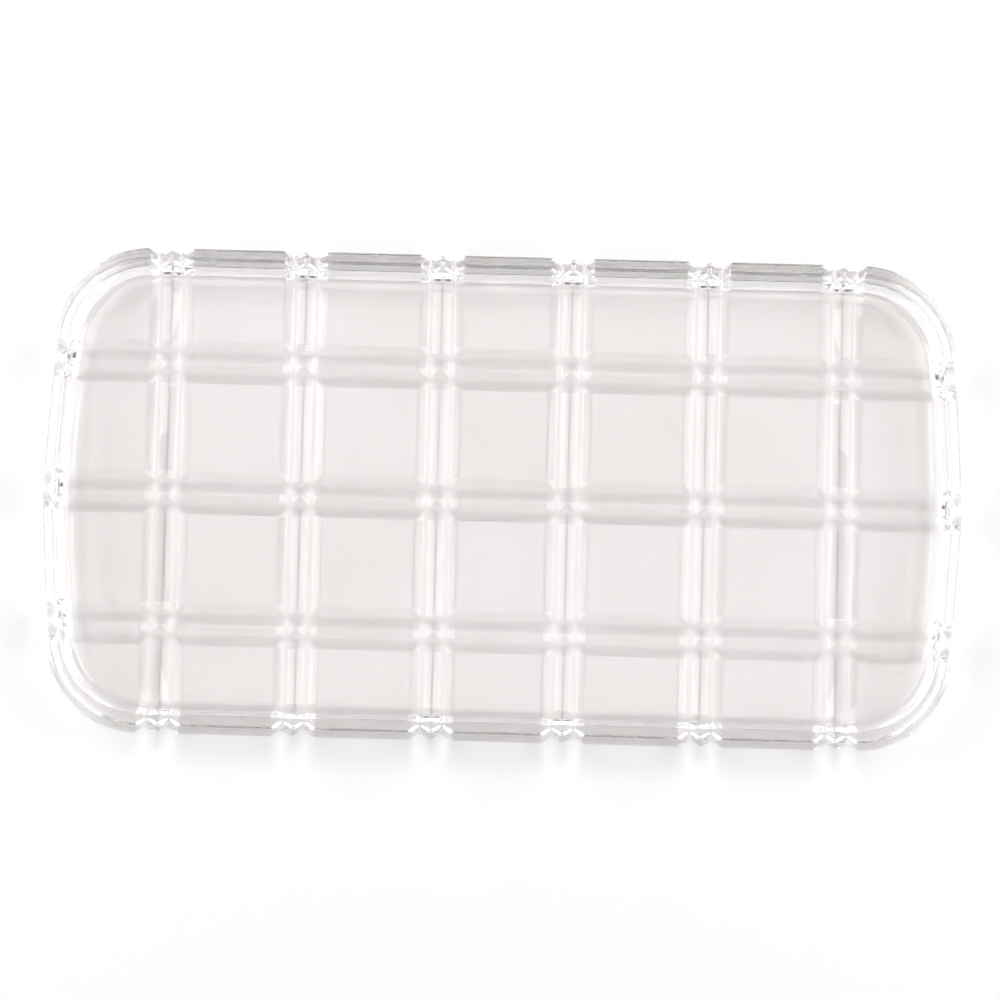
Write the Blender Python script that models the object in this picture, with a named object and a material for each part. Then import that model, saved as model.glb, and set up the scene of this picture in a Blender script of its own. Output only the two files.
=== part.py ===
"""Clear glass serving tray: a shallow rounded rectangle with bowed ends and a thick bevelled rim.

Pairs of shallow flutes run across and along the underside and, cut deeper, up the outside of the
wall. Everything is in metres, +Z up, with the origin under the middle of the tray on the plane it
stands on.
"""

import math

import bmesh
import bpy
from mathutils import Vector

# Outline, measured round the widest line of the rim
LENGTH = 0.368
WIDTH = 0.192
CORNER_RADIUS = 0.039
END_RADIUS = 0.420

# Cross-section through the wall, each inset measured inwards from the outline
HEIGHT = 0.018
FLOOR_THICKNESS = 0.005
FOOT_INSET = 0.0035
FOOT_FILLET = 0.002
BEVEL_WIDTH = 0.0029
BEVEL_DROP = 0.0025
RIM_INSET = 0.0075
INNER_WALL_ANGLE = math.radians(12)
COVE_RADIUS = 0.004
CORNER_SHRINK = 0.9

# Flutes, cut in pairs with a sharp ridge between the two
COLUMN_PLACES = (-0.1339, -0.0803, -0.0260, 0.0260, 0.0803, 0.1339)
ROW_PLACES = (-0.0523, 0.0, 0.0523)
FLUTE_WIDTH = 0.0086
FLUTE_BOTTOM_RADIUS = 0.0036
COLUMN_FLUTE_DEPTH = 0.0014
ROW_FLUTE_DEPTH = 0.0013
RIDGE_SHARE = 0.1
WALL_DEEPENING = 1.9
FLUTE_TURN_RADIUS = 0.0026
SIDE_OVERRUN = 0.001
TOP_OVERRUN = 0.004

# Facets
CORNER_STEPS = 8
END_STEPS = 4
COVE_STEPS = 5
FILLET_STEPS = 4
TURN_STEPS = 3
BOTTOM_STEPS = 4
SHARP_ANGLE = math.radians(20)


def clear_scene():
    for obj in list(bpy.data.objects):
        bpy.data.objects.remove(obj, do_unlink=True)


def glass_material():
    material = bpy.data.materials.new("clear_glass")
    material.use_nodes = True
    shader = material.node_tree.nodes["Principled BSDF"]
    shader.inputs["Base Color"].default_value = (0.93, 0.94, 0.94, 1.0)
    shader.inputs["Metallic"].default_value = 0.0
    shader.inputs["Roughness"].default_value = 0.03
    shader.inputs["IOR"].default_value = 1.52
    shader.inputs["Transmission Weight"].default_value = 1.0
    return material


def corner_centre(inset):
    """Centre of the corner arc, and the angle where the bowed end runs into it."""
    radius = CORNER_RADIUS - CORNER_SHRINK * inset
    end_radius = END_RADIUS - inset
    end_centre = LENGTH / 2 - END_RADIUS
    y = WIDTH / 2 - inset - radius
    reach = math.sqrt((end_radius - radius) ** 2 - y**2)
    return end_centre + reach, y, math.atan2(y, reach)


def half_length_at(y):
    """Distance from the middle to the bowed end, along X, at this y."""
    return LENGTH / 2 - END_RADIUS + math.sqrt(END_RADIUS**2 - y**2)


def quarter_outline(inset):
    """Points from the middle of the +X end round the corner to the end of the straight +Y side."""
    centre_x, centre_y, start = corner_centre(inset)
    end_centre = LENGTH / 2 - END_RADIUS
    end_radius = END_RADIUS - inset
    radius = CORNER_RADIUS - CORNER_SHRINK * inset
    points = []
    for step in range(END_STEPS):
        angle = start * step / END_STEPS
        points.append((end_centre + end_radius * math.cos(angle), end_radius * math.sin(angle)))
    for step in range(CORNER_STEPS + 1):
        angle = start + (math.pi / 2 - start) * step / CORNER_STEPS
        points.append((centre_x + radius * math.cos(angle), centre_y + radius * math.sin(angle)))
    return points


def outline(inset):
    """The whole closed outline, anticlockwise seen from above."""
    quarter = quarter_outline(inset)
    back_half = quarter + [(-x, y) for x, y in reversed(quarter)]
    front_half = [(x, -y) for x, y in reversed(back_half)]
    return back_half + front_half[1:-1]


def arc(centre, radius, start, stop, steps):
    """Points (inset, height) on an arc, both ends included."""
    angles = [start + (stop - start) * step / steps for step in range(steps + 1)]
    return [(centre[0] + radius * math.cos(a), centre[1] + radius * math.sin(a)) for a in angles]


def wall_angle():
    """Lean of the outer wall from upright."""
    return math.atan2(FOOT_INSET, HEIGHT - BEVEL_DROP)


def foot_fillet():
    lean = wall_angle()
    setback = FOOT_FILLET * math.tan((math.pi / 2 - lean) / 2)
    centre = (FOOT_INSET + setback, FOOT_FILLET)
    return arc(centre, FOOT_FILLET, -math.pi / 2, -math.pi - lean, FILLET_STEPS)


def cove():
    """Round of the inside corner between the wall and the floor."""
    lean = INNER_WALL_ANGLE
    height = FLOOR_THICKNESS + COVE_RADIUS
    run = (HEIGHT - height + COVE_RADIUS * math.sin(lean)) / math.cos(lean)
    x = RIM_INSET + run * math.sin(lean) + COVE_RADIUS * math.cos(lean)
    return arc((x, height), COVE_RADIUS, math.pi + lean, 3 * math.pi / 2, COVE_STEPS)


def wall_section():
    """Section points (inset, height) from the foot, over the rim, to the edge of the floor."""
    rim = [(0.0, HEIGHT - BEVEL_DROP), (BEVEL_WIDTH, HEIGHT), (RIM_INSET, HEIGHT)]
    return foot_fillet() + rim + cove()


def link(obj):
    bpy.context.scene.collection.objects.link(obj)
    return obj


def loft(name, rings):
    """A closed body through rings that all have the same number of points."""
    mesh = bmesh.new()
    loops = [[mesh.verts.new(point) for point in ring] for ring in rings]
    count = len(loops[0])
    for lower, upper in zip(loops, loops[1:]):
        for index in range(count):
            after = (index + 1) % count
            mesh.faces.new((lower[index], lower[after], upper[after], upper[index]))
    mesh.faces.new(list(reversed(loops[0])))
    mesh.faces.new(loops[-1])
    bmesh.ops.recalc_face_normals(mesh, faces=mesh.faces)
    data = bpy.data.meshes.new(name)
    mesh.to_mesh(data)
    mesh.free()
    return link(bpy.data.objects.new(name, data))


def tray_blank():
    """The tray before its flutes are cut."""
    rings = [[(x, y, height) for x, y in outline(inset)] for inset, height in wall_section()]
    return loft("tray", rings)


def flute_slope(depth):
    """Slope of a flute's straight sides, which touch the round bottom and end at the surface."""
    half = FLUTE_WIDTH / 2
    span = 2 * FLUTE_BOTTOM_RADIUS - depth
    return 2 * math.atan((half - math.sqrt(half**2 - depth * span)) / span)


def flute_bottom(middle, depth):
    """Points (offset, depth) round the bottom of the flute centred on this offset."""
    radius = FLUTE_BOTTOM_RADIUS
    slope = flute_slope(depth)
    angles = [slope * (2 * step / BOTTOM_STEPS - 1) for step in range(BOTTOM_STEPS + 1)]
    return [(middle + radius * math.sin(a), depth - radius * (1 - math.cos(a))) for a in angles]


def pair_profile(depth):
    """Closed profile (offset, depth) of a pair of flutes; a negative depth is outside the glass."""
    half = FLUTE_WIDTH / 2
    edge = FLUTE_WIDTH + SIDE_OVERRUN / math.tan(flute_slope(depth))
    left = [(-edge, -SIDE_OVERRUN)] + flute_bottom(-half, depth)
    right = flute_bottom(half, depth) + [(edge, -SIDE_OVERRUN)]
    return left + [(0.0, RIDGE_SHARE * depth)] + right


def rounded_corner(before, corner, after):
    """Points of an arc in place of the corner."""
    corner = Vector(corner)
    back = (Vector(before) - corner).normalized()
    ahead = (Vector(after) - corner).normalized()
    half = back.angle(ahead) / 2
    middle = corner + (back + ahead).normalized() * FLUTE_TURN_RADIUS / math.sin(half)
    first = corner + back * FLUTE_TURN_RADIUS / math.tan(half) - middle
    last = corner + ahead * FLUTE_TURN_RADIUS / math.tan(half) - middle
    turns = [first.slerp(last, step / TURN_STEPS, first) for step in range(TURN_STEPS + 1)]
    return [tuple(middle + turn * FLUTE_TURN_RADIUS) for turn in turns]


def flute_route(half_span, depth):
    """Points (along, height) at this depth: down one wall, under the tray and up the other."""
    lean = math.tan(wall_angle())
    level = WALL_DEEPENING * depth / math.cos(wall_angle())
    foot = half_span - FOOT_INSET + depth * lean - level
    top = HEIGHT + TOP_OVERRUN
    high = half_span - FOOT_INSET + top * lean - level
    turn = rounded_corner((high, top), (foot, depth), (0.0, depth))
    half = [(high, top)] + turn
    return [(-along, height) for along, height in half] + list(reversed(half))


def flute_cutter(name, routes):
    """A body whose long edges are these routes, all with the same number of points."""
    cutter = loft(name, [list(ring) for ring in zip(*routes)])
    cutter.hide_render = True
    cutter.display_type = "WIRE"
    return cutter


def column_cutters():
    """Pairs of flutes across the tray, along Y."""
    cutters = []
    for number, place in enumerate(COLUMN_PLACES, 1):
        routes = []
        for offset, depth in pair_profile(COLUMN_FLUTE_DEPTH):
            route = flute_route(WIDTH / 2, depth)
            routes.append([(place + offset, along, height) for along, height in route])
        cutters.append(flute_cutter(f"column_flutes_{number}", routes))
    return cutters


def row_cutters():
    """Pairs of flutes along the tray, along X, each edge ending at the bowed end at its own y."""
    cutters = []
    for number, place in enumerate(ROW_PLACES, 1):
        routes = []
        for offset, depth in pair_profile(ROW_FLUTE_DEPTH):
            y = place + offset
            route = flute_route(half_length_at(y), depth)
            routes.append([(along, y, height) for along, height in route])
        cutters.append(flute_cutter(f"row_flutes_{number}", routes))
    return cutters


def cut(body, cutters):
    for cutter in cutters:
        modifier = body.modifiers.new(cutter.name, "BOOLEAN")
        modifier.operation = "DIFFERENCE"
        modifier.solver = "EXACT"
        modifier.object = cutter


def build_tray():
    tray = tray_blank()
    tray.data.materials.append(glass_material())
    tray.data.shade_smooth()
    tray.data.set_sharp_from_angle(angle=SHARP_ANGLE)
    cut(tray, column_cutters() + row_cutters())
    return tray


clear_scene()
build_tray()
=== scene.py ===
"""A clear pressed-glass serving tray with fluted lines underneath, on a plain pale floor."""

import math

import bmesh
import bpy
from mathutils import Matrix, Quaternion, Vector


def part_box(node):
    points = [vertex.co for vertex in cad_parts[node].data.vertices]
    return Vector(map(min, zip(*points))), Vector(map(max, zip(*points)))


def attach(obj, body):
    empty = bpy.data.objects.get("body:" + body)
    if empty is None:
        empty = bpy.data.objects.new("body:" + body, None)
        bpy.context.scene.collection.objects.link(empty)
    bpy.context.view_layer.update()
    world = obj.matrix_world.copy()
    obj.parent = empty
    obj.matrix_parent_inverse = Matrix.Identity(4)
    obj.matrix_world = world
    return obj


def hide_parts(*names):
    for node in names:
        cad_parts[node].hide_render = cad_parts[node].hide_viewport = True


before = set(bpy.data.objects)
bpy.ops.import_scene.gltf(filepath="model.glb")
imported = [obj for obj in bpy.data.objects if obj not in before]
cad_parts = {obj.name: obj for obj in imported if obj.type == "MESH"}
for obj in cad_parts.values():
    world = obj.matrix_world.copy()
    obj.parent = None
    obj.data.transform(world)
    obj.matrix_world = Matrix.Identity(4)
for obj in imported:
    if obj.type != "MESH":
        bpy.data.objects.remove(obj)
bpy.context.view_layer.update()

MM = 0.001
CORNER_RADIUS = 39 * MM
END_RADIUS = 420 * MM
FLOOR_THICKNESS = 5 * MM
FOOT_INSET = 3.5 * MM
FOOT_FILLET = 2 * MM
BEVEL_WIDTH = 2.9 * MM
BEVEL_DROP = 2.5 * MM
RIM_INSET = 7.5 * MM
WALL_ANGLE = math.radians(12)
COVE_RADIUS = 4 * MM
EDGE_ROUND = 0.3 * MM
RIM_ROUND = 0.5 * MM

# Share by which the foot's fillet is smaller where a flute is deepest
FOOT_SHRINK = 0.4
# The section's first and last points stand this far off, only to give a direction
STAND_OFF = 30 * MM

COLUMN_PLACES = [place * MM for place in (-133.9, -80.3, -26.0, 26.0, 80.3, 133.9)]
ROW_PLACES = [place * MM for place in (-52.3, 0, 52.3)]
FLUTE_CENTRE = 4.3 * MM
FLUTE_RADIUS = 3.6 * MM
FLUTE_DEPTH = 1.4 * MM
WALL_DEEPENING = 1.9
RIDGE_DEPTH = 0.2 * MM
RIDGE_ROUND = 0.15 * MM
LIP_ROUND = 0.5 * MM

# The straight side goes on at least this far past its last flute
SIDE_MARGIN = 0.6 * MM
# Depths closer than this count as equal where two flutes cross
SAME_DEPTH = 1e-5 * MM

# Drawn lines left by the mould and the polishing, all the way round the rim: a wave and a finer one
RIPPLE_HEIGHT = 0.006 * MM
RIPPLE_LENGTH = 1.1 * MM
FINE_SHARE = 0.6
FINE_RATE = 2.3
FINE_PHASE = 1

FLUTE_STEPS = 6
ROUND_STEPS = 3
EDGE_STEPS = 3
RIM_STEPS = 4
FOOT_STEPS = 5
COVE_STEPS = 10
BEVEL_STEPS = 14
WALL_STEPS = 10
CORNER_STEPS = 24
SHARP_ANGLE = math.radians(30)

# Two tints that the glass drifts between
DARK_TINT = (0.939, 0.925, 0.919, 1)
LIGHT_TINT = (0.958, 0.940, 0.936, 1)

FLOOR_HALF = 3.0
FLOOR_GAP = 0.2 * MM

CAMERA_DISTANCE = 1.45
CAMERA_LENS = 132.0
CAMERA_TARGET = (-0.9 * MM, -0.45 * MM, 12 * MM)
CAMERA_TILT = math.radians(4)
CAMERA_ROLL = math.radians(1.46)

low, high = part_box("tray")
LENGTH = high.x - low.x
WIDTH = high.y - low.y
HEIGHT = high.z - low.z


# ---------------------------------------------------------------- the tray's mesh


def flute_slope(rise):
    """Slope of the straight side that climbs this far from the round bottom over half a flute."""
    span = 2 * FLUTE_RADIUS - rise
    reach = math.sqrt(FLUTE_CENTRE**2 - rise * span)
    return 2 * math.atan((FLUTE_CENTRE - reach) / span)


def on_bottom(angle):
    """The point on the round bottom of the flute where the slope is this steep."""
    rise = FLUTE_RADIUS * (1 - math.cos(angle))
    return FLUTE_CENTRE + FLUTE_RADIUS * math.sin(angle), FLUTE_DEPTH - rise


def pair_profile():
    """(offset, depth) across half of a pair of flutes, from the ridge between them outwards."""
    inner = flute_slope(FLUTE_DEPTH - RIDGE_DEPTH)
    outer = flute_slope(FLUTE_DEPTH)
    ridge = RIDGE_DEPTH + RIDGE_ROUND / math.cos(inner)
    lip = 2 * FLUTE_CENTRE + LIP_ROUND * math.tan(outer / 2)
    points = []
    for step in range(ROUND_STEPS + 1):
        angle = inner * step / ROUND_STEPS
        points.append((RIDGE_ROUND * math.sin(angle), ridge - RIDGE_ROUND * math.cos(angle)))
    for step in range(-FLUTE_STEPS, 0):
        points.append(on_bottom(inner * step / FLUTE_STEPS))
    for step in range(FLUTE_STEPS + 1):
        points.append(on_bottom(outer * step / FLUTE_STEPS))
    for step in range(ROUND_STEPS + 1):
        angle = outer * (1 - step / ROUND_STEPS)
        points.append((lip - LIP_ROUND * math.sin(angle), LIP_ROUND * (1 - math.cos(angle))))
    return points


def line_of_pairs(places):
    """(place, depth) along one axis for pairs of flutes at these places."""
    half = pair_profile()
    whole = [(-offset, depth) for offset, depth in reversed(half[1:])] + half
    return [(middle + offset, depth) for middle in places for offset, depth in whole]


def half_length_at(y):
    """Distance from the middle to the outline, along X, on the curved end."""
    return LENGTH / 2 - END_RADIUS + math.sqrt(END_RADIUS**2 - y * y)


def corner_centre():
    """The centre of a corner's arc, and the angle where the arc meets the curved end."""
    y = WIDTH / 2 - CORNER_RADIUS
    reach = math.sqrt((END_RADIUS - CORNER_RADIUS) ** 2 - y**2)
    return LENGTH / 2 - END_RADIUS + reach, y, math.atan2(y, reach)


def rounded(points, radii, steps):
    """The open chain of points with an arc of its own radius at each inner one."""
    chain = []
    for index, (radius, count) in enumerate(zip(radii, steps), 1):
        corner = Vector(points[index])
        back = (Vector(points[index - 1]) - corner).normalized()
        ahead = (Vector(points[index + 1]) - corner).normalized()
        half = back.angle(ahead) / 2
        centre = corner + (back + ahead).normalized() * radius / math.sin(half)
        first = corner + back * radius / math.tan(half) - centre
        last = corner + ahead * radius / math.tan(half) - centre
        for step in range(count + 1):
            spoke = first.slerp(last, step / count, first) * radius
            chain.append(tuple(centre + spoke))
    return chain


def rippled(first, last, count):
    """The inner points of a straight stretch, with fine lines drawn along the rim."""
    first, last = Vector(first), Vector(last)
    along = last - first
    across = Vector((-along.y, along.x)).normalized()
    points = []
    for step in range(1, count):
        share = step / count
        phase = 2 * math.pi * share * along.length / RIPPLE_LENGTH
        wave = math.sin(phase) + FINE_SHARE * math.sin(FINE_RATE * phase + FINE_PHASE)
        points.append(tuple(first + along * share + across * wave * RIPPLE_HEIGHT))
    return points


def wall_section(depth):
    """(inset, z) up the outer wall, over the rim and down to the floor, with a flute this deep."""
    shoulder = HEIGHT - BEVEL_DROP
    lean = FOOT_INSET / shoulder
    level = WALL_DEEPENING * depth * math.sqrt(1 + lean**2)
    bevel = BEVEL_WIDTH / BEVEL_DROP
    crest = shoulder + level / (bevel + lean)
    floor_edge = RIM_INSET + (HEIGHT - FLOOR_THICKNESS) * math.tan(WALL_ANGLE)
    foot = FOOT_INSET - depth * lean + level
    points = [
        (foot + STAND_OFF, depth),
        (foot, depth),
        ((crest - shoulder) * bevel, crest),
        (BEVEL_WIDTH, HEIGHT),
        (RIM_INSET, HEIGHT),
        (floor_edge, FLOOR_THICKNESS),
        (floor_edge + STAND_OFF, FLOOR_THICKNESS),
    ]
    foot_round = FOOT_FILLET * (1 - FOOT_SHRINK * depth / FLUTE_DEPTH)
    radii = [foot_round, EDGE_ROUND, EDGE_ROUND, RIM_ROUND, COVE_RADIUS]
    steps = [FOOT_STEPS, EDGE_STEPS, EDGE_STEPS, RIM_STEPS, COVE_STEPS]
    chain = rounded(points, radii, steps)
    crest_start = FOOT_STEPS + 1
    bevel_start = crest_start + EDGE_STEPS + 1
    wall = rippled(chain[crest_start - 1], chain[crest_start], WALL_STEPS)
    slope = rippled(chain[bevel_start - 1], chain[bevel_start], BEVEL_STEPS)
    lower, middle, upper = chain[:crest_start], chain[crest_start:bevel_start], chain[bevel_start:]
    return lower + wall + middle + slope + upper


def side_end(columns):
    """Where the long side ends: past the corner's start, so that the last flute is on the side."""
    return max(corner_centre()[0], columns[-1][0] + SIDE_MARGIN)


def half_width_at(x):
    """Distance from the middle to the outline, along Y, on the long side."""
    centre_x, centre_y, _ = corner_centre()
    past = max(abs(x) - centre_x, 0)
    return centre_y + math.sqrt(CORNER_RADIUS**2 - past**2)


def corner_stations(side_x, side_y, end):
    """Stations round one corner, from its curved end to its long side."""
    x, y, start = corner_centre()
    stop = math.acos((end - x) / CORNER_RADIUS)
    found = []
    for step in range(1, CORNER_STEPS):
        share = step / CORNER_STEPS
        angle = start + (stop - start) * share
        turn = math.pi / 2 * share
        place = (x + CORNER_RADIUS * math.cos(angle), y + CORNER_RADIUS * math.sin(angle))
        inward = (-side_x * math.cos(turn), -side_y * math.sin(turn))
        found.append((side_x * place[0], side_y * place[1], *inward, 0.0))
    return found


def stations(columns, rows):
    """(x, y, inward x, inward y, flute depth) round the outline, anticlockwise from the +X end."""
    _, y, start = corner_centre()
    join = y + CORNER_RADIUS * math.sin(start)
    end = side_end(columns)
    ends = [(-join, 0.0), *rows, (join, 0.0)]
    sides = [(-end, 0.0), *columns, (end, 0.0)]
    ring = [(half_length_at(place), place, -1, 0, depth) for place, depth in ends]
    ring += corner_stations(1, 1, end)
    ring += [(x, half_width_at(x), 0, -1, depth) for x, depth in reversed(sides)]
    ring += corner_stations(-1, 1, end)[::-1]
    ring += [(-half_length_at(place), place, 1, 0, depth) for place, depth in reversed(ends)]
    ring += corner_stations(-1, -1, end)
    ring += [(x, -half_width_at(x), 0, 1, depth) for x, depth in sides]
    ring += corner_stations(1, -1, end)[::-1]
    return ring


def add_walls(bm, ring):
    """The wall, rim and floor faces. It gives back the ring of vertices at the foot."""
    sections = {}
    loops = []
    for x, y, inward_x, inward_y, depth in ring:
        if depth not in sections:
            sections[depth] = wall_section(depth)
        loops.append(
            [bm.verts.new((x + inward_x * i, y + inward_y * i, z)) for i, z in sections[depth]]
        )
    for this, following in zip(loops, loops[1:] + loops[:1]):
        for i in range(len(this) - 1):
            bm.faces.new((this[i], following[i], following[i + 1], this[i + 1]))
    bm.faces.new([loop[-1] for loop in loops])
    return [loop[0] for loop in loops]


def add_grid(bm, columns, rows):
    """The underside between the outermost flutes, creased where two flutes cross."""
    grid = [[bm.verts.new((x, y, max(a, b))) for y, b in rows] for x, a in columns]

    def creased(i, j):
        return columns[i][1] > 0 and abs(columns[i][1] - rows[j][1]) < SAME_DEPTH

    for i in range(len(columns) - 1):
        for j in range(len(rows) - 1):
            places = [(i, j), (i + 1, j), (i + 1, j + 1), (i, j + 1)]
            a, b, c, d = [grid[p][q] for p, q in places]
            on = [creased(p, q) for p, q in places]
            if on[0] and on[2] and not (on[1] or on[3]):
                bm.faces.new((a, b, c))
                bm.faces.new((a, c, d))
            elif on[1] and on[3] and not (on[0] or on[2]):
                bm.faces.new((a, b, d))
                bm.faces.new((b, c, d))
            else:
                bm.faces.new((a, b, c, d))
    return grid


def add_margins(bm, grid, foot):
    """The underside between the outermost flutes and the foot of the wall."""
    across, along = len(grid), len(grid[0])
    corner = CORNER_STEPS - 1
    top = along + 2 + corner
    left = top + across + 2 + corner
    bottom = left + along + 2 + corner
    for j in range(along - 1):
        bm.faces.new((grid[-1][j], foot[1 + j], foot[2 + j], grid[-1][j + 1]))
        bm.faces.new(
            (grid[0][j], grid[0][j + 1], foot[left + along - 1 - j], foot[left + along - j])
        )
    for i in range(across - 1):
        bm.faces.new((grid[i][0], foot[bottom + 1 + i], foot[bottom + 2 + i], grid[i + 1][0]))
        bm.faces.new(
            (grid[i][-1], grid[i + 1][-1], foot[top + across - 1 - i], foot[top + across - i])
        )
    wrapped = foot + foot[:2]
    bm.faces.new([grid[-1][-1], *wrapped[along : top + 2]])
    bm.faces.new([grid[0][-1], *wrapped[top + across : left + 2]])
    bm.faces.new([grid[0][0], *wrapped[left + along : bottom + 2]])
    bm.faces.new([grid[-1][0], *wrapped[bottom + across :]])


def make_tray():
    """The tray as one closed mesh, smooth except at its sharp edges."""
    columns = line_of_pairs(COLUMN_PLACES)
    rows = line_of_pairs(ROW_PLACES)
    bm = bmesh.new()
    foot = add_walls(bm, stations(columns, rows))
    grid = add_grid(bm, columns, rows)
    add_margins(bm, grid, foot)
    bmesh.ops.recalc_face_normals(bm, faces=bm.faces)
    mesh = bpy.data.meshes.new("tray_glass")
    bm.to_mesh(mesh)
    bm.free()
    mesh.shade_smooth()
    mesh.set_sharp_from_angle(angle=SHARP_ANGLE)
    tray = bpy.data.objects.new("tray_glass", mesh)
    bpy.context.scene.collection.objects.link(tray)
    normals = tray.modifiers.new("normals", "WEIGHTED_NORMAL")
    normals.mode = "FACE_AREA"
    normals.weight = 100
    normals.keep_sharp = True
    return tray


# ---------------------------------------------------------------- materials


def noise(tree, scale, detail):
    """A noise texture that stays with the object."""
    place = tree.nodes.new("ShaderNodeTexCoord")
    texture = tree.nodes.new("ShaderNodeTexNoise")
    texture.inputs["Scale"].default_value = scale
    texture.inputs["Detail"].default_value = detail
    tree.links.new(place.outputs["Object"], texture.inputs["Vector"])
    return texture


def glass_material():
    """Clear glass with a faint warm tint that drifts, and a surface that is never quite flat."""
    material = bpy.data.materials.new("clear_glass")
    material.use_nodes = True
    tree = material.node_tree
    shader = tree.nodes["Principled BSDF"]
    shader.inputs["Transmission Weight"].default_value = 1
    shader.inputs["IOR"].default_value = 1.52
    shader.inputs["Roughness"].default_value = 0
    tint = tree.nodes.new("ShaderNodeValToRGB")
    tint.color_ramp.elements[0].position = 0.35
    tint.color_ramp.elements[0].color = DARK_TINT
    tint.color_ramp.elements[1].position = 0.65
    tint.color_ramp.elements[1].color = LIGHT_TINT
    bump = tree.nodes.new("ShaderNodeBump")
    bump.inputs["Strength"].default_value = 0.06
    bump.inputs["Distance"].default_value = 0.05 * MM
    tree.links.new(noise(tree, 11, 2).outputs["Fac"], tint.inputs["Fac"])
    tree.links.new(tint.outputs["Color"], shader.inputs["Base Color"])
    tree.links.new(noise(tree, 40, 1).outputs["Fac"], bump.inputs["Height"])
    tree.links.new(bump.outputs["Normal"], shader.inputs["Normal"])
    return material


def floor_material():
    """A pale, matt tabletop."""
    material = bpy.data.materials.new("pale_floor")
    material.use_nodes = True
    shader = material.node_tree.nodes["Principled BSDF"]
    shader.inputs["Base Color"].default_value = (0.9, 0.9, 0.9, 1)
    shader.inputs["Roughness"].default_value = 0.6
    shader.inputs["Specular IOR Level"].default_value = 0
    return material


# ---------------------------------------------------------------- floor, lights, camera


def make_floor():
    """A flat square just under the tray, without touching it."""
    mesh = bpy.data.meshes.new("floor")
    half = FLOOR_HALF
    corners = [(-half, -half, 0), (half, -half, 0), (half, half, 0), (-half, half, 0)]
    mesh.from_pydata(corners, [], [(0, 1, 2, 3)])
    mesh.materials.append(floor_material())
    floor = bpy.data.objects.new("floor", mesh)
    floor.location.z = low.z - FLOOR_GAP
    bpy.context.scene.collection.objects.link(floor)
    return floor


def softbox(name, azimuth, elevation, distance, size, brightness):
    """A softbox facing the tray; size is (across, up) and brightness its radiance."""
    light = bpy.data.lights.new(name, "AREA")
    light.shape = "RECTANGLE"
    light.size, light.size_y = size
    light.energy = size[0] * size[1] * math.pi * brightness
    holder = bpy.data.objects.new(name, light)
    turn, rise = math.radians(azimuth), math.radians(elevation)
    outward = (math.cos(turn) * math.cos(rise), math.sin(turn) * math.cos(rise), math.sin(rise))
    holder.location = Vector(outward) * distance
    holder.rotation_euler = (-holder.location).to_track_quat("-Z", "Y").to_euler()
    bpy.context.scene.collection.objects.link(holder)


def softbox_pair(name, azimuth, elevation, size, brightness):
    """Two equal softboxes, one at each end of the tray."""
    softbox(name + "_right", azimuth, elevation, 1.6, size, brightness)
    softbox(name + "_left", 180 - azimuth, elevation, 1.6, size, brightness)


def make_lights():
    """Softboxes at three heights beside the tray's ends, one behind it and one above."""
    softbox_pair("low", 0, 9, (0.9, 0.4), 6.2)
    softbox_pair("middle", 0, 27, (1.0, 0.5), 4.0)
    softbox_pair("middle_back", 38, 27, (0.9, 0.6), 2.65)
    softbox_pair("middle_front", -38, 27, (0.9, 0.6), 2.1)
    softbox_pair("high_back", 30, 47, (1.0, 0.5), 3.5)
    softbox_pair("high_front", -30, 47, (1.0, 0.5), 0.95)
    softbox("back", 90, 60, 1.6, (1.2, 0.8), 0.7)
    softbox("top", 90, 90, 2.0, (1.0, 1.0), 0.5)


def soft_surroundings(strength):
    """An even white world of this strength."""
    world = bpy.data.worlds.new("studio")
    world.use_nodes = True
    world.node_tree.nodes["Background"].inputs["Color"].default_value = (1, 1, 1, 1)
    world.node_tree.nodes["Background"].inputs["Strength"].default_value = strength
    bpy.context.scene.world = world


def make_camera():
    """A long lens almost straight above the tray."""
    data = bpy.data.cameras.new("camera")
    data.sensor_width = 36
    data.lens = CAMERA_LENS
    camera = bpy.data.objects.new("camera", data)
    target = Vector(CAMERA_TARGET)
    back = Vector((0, -math.sin(CAMERA_TILT), math.cos(CAMERA_TILT)))
    camera.location = target + back * CAMERA_DISTANCE
    facing = (target - camera.location).to_track_quat("-Z", "Y")
    camera.rotation_mode = "QUATERNION"
    camera.rotation_quaternion = facing @ Quaternion((0, 0, 1), CAMERA_ROLL)
    bpy.context.scene.collection.objects.link(camera)
    bpy.context.scene.camera = camera


def set_light_paths():
    """Enough bounces for light to leave thick glass, and no blur or clamp on what it gathers."""
    cycles = bpy.context.scene.cycles
    cycles.max_bounces = 40
    cycles.glossy_bounces = 40
    cycles.transmission_bounces = 40
    cycles.diffuse_bounces = 4
    cycles.blur_glossy = 0
    cycles.sample_clamp_indirect = 0


tray = make_tray()
tray.data.materials.append(glass_material())
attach(tray, "root")
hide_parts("tray")

make_floor()
make_lights()
soft_surroundings(0.1)
make_camera()
set_light_paths()
bpy.context.scene.view_settings.view_transform = "Standard"
